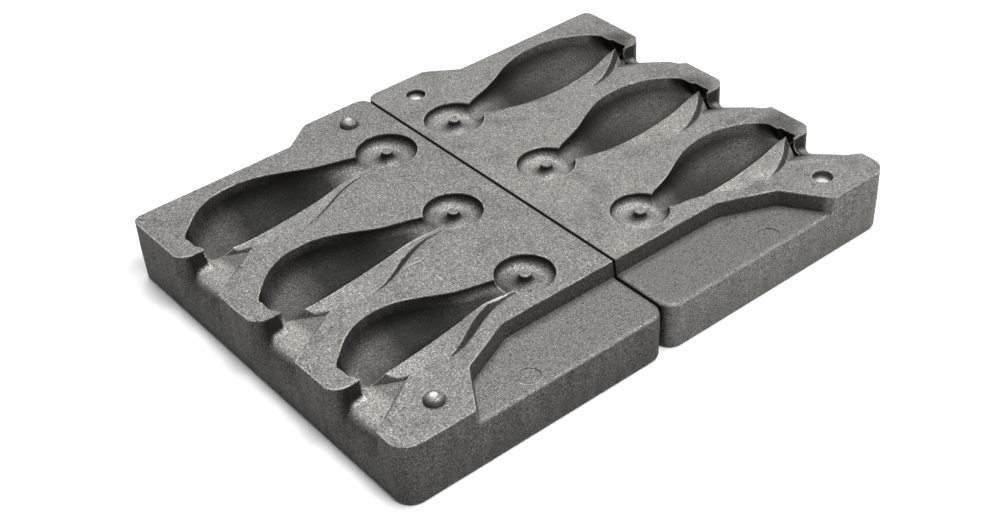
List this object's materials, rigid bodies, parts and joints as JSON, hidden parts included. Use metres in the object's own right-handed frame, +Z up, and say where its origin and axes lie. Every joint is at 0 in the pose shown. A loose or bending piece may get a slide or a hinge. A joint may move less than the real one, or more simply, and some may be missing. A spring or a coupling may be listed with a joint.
{
  "type": "fishing sinker mould",
  "caption": "Open two-part aluminium mould for casting fishing sinkers, its halves side by side with cavities, pouring funnels, locating pins and clamping ledges.",
  "frame": {"origin": "bottom centre of the open pair, on the seam between the halves", "axes": "+Z up from the base to the parting faces, +X across the seam from the pin half to the socket half, +Y along the seam from the clamping ledges to the tabs"},
  "size_m": [0.14, 0.1094, 0.0182],
  "materials": {
    "cast_aluminium": "as die cast, blasted matt, with worn rims"
  },
  "bodies": {
    "root": {"pin_half": "cast_aluminium", "socket_half": "cast_aluminium"}
  },
  "joints": []
}
